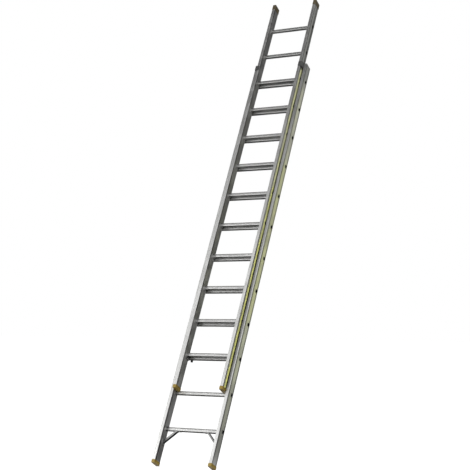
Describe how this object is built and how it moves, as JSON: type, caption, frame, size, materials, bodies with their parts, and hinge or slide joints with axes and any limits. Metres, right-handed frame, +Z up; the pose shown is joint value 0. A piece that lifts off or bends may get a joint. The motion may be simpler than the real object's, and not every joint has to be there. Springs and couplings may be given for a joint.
{
  "type": "extension ladder",
  "caption": "Aluminium push-up extension ladder, leaning: a fly section slides on a wider base, with square rungs, swinging rung hooks, guide brackets, knee braces, plastic end covers.",
  "frame": {"origin": "on the floor, midway between the base feet, on the line of their rear sole edges", "axes": "+Z up, +X to the right seen from the climbing side, +Y back toward the wall that it leans on"},
  "size_m": [0.482, 2.0012, 3.7483],
  "materials": {
    "aluminium": "mill finish, drawn lengthwise",
    "yellow_plastic": "moulded, satin",
    "grey_plastic": "moulded, satin",
    "black_steel": "black powder coat",
    "pin_steel": "zinc plated"
  },
  "bodies": {
    "base": {"base_brace_rivets": "aluminium", "base_guide_rivets": "pin_steel", "base_left_brace": "aluminium", "base_left_foot": "yellow_plastic", "base_left_guide": "black_steel", "base_left_stile": "aluminium", "base_left_top_plug": "grey_plastic", "base_right_brace": "aluminium", "base_right_foot": "yellow_plastic", "base_right_guide": "black_steel", "base_right_stile": "aluminium", "base_right_top_plug": "grey_plastic", "base_rung_01": "aluminium", "base_rung_02": "aluminium", "base_rung_03": "aluminium", "base_rung_04": "aluminium", "base_rung_05": "aluminium", "base_rung_06": "aluminium", "base_rung_07": "aluminium", "base_rung_08": "aluminium", "base_rung_09": "aluminium", "base_rung_10": "aluminium", "base_rung_11": "aluminium", "base_rung_12": "aluminium"},
    "fly": {"fly_bracket_rivets": "pin_steel", "fly_left_foot": "yellow_plastic", "fly_left_hook_bracket": "black_steel", "fly_left_hook_pin": "pin_steel", "fly_left_stile": "aluminium", "fly_left_top_cap": "yellow_plastic", "fly_right_foot": "yellow_plastic", "fly_right_hook_bracket": "black_steel", "fly_right_hook_pin": "pin_steel", "fly_right_stile": "aluminium", "fly_right_top_cap": "yellow_plastic", "fly_rung_01": "aluminium", "fly_rung_02": "aluminium", "fly_rung_03": "aluminium", "fly_rung_04": "aluminium", "fly_rung_05": "aluminium", "fly_rung_06": "aluminium", "fly_rung_07": "aluminium", "fly_rung_08": "aluminium", "fly_rung_09": "aluminium", "fly_rung_10": "aluminium", "fly_rung_11": "aluminium", "fly_rung_12": "aluminium"},
    "left_hook": {"left_rung_hook": "black_steel"},
    "right_hook": {"right_rung_hook": "black_steel"}
  },
  "joints": [
    {"name": "fly_slide", "type": "slide", "parent": "base", "child": "fly", "axis": [0, 0.4695, 0.8829], "range_m": [-0.56, 1.96]},
    {"name": "left_hook_swing", "type": "hinge", "parent": "fly", "child": "left_hook", "pos_m": [-0.1675, 0.36707, 0.7777], "axis": [1, 0, 0], "range_deg": [0, 150]},
    {"name": "right_hook_swing", "type": "hinge", "parent": "fly", "child": "right_hook", "pos_m": [0.1675, 0.36707, 0.7777], "axis": [1, 0, 0], "range_deg": [0, 150]}
  ]
}
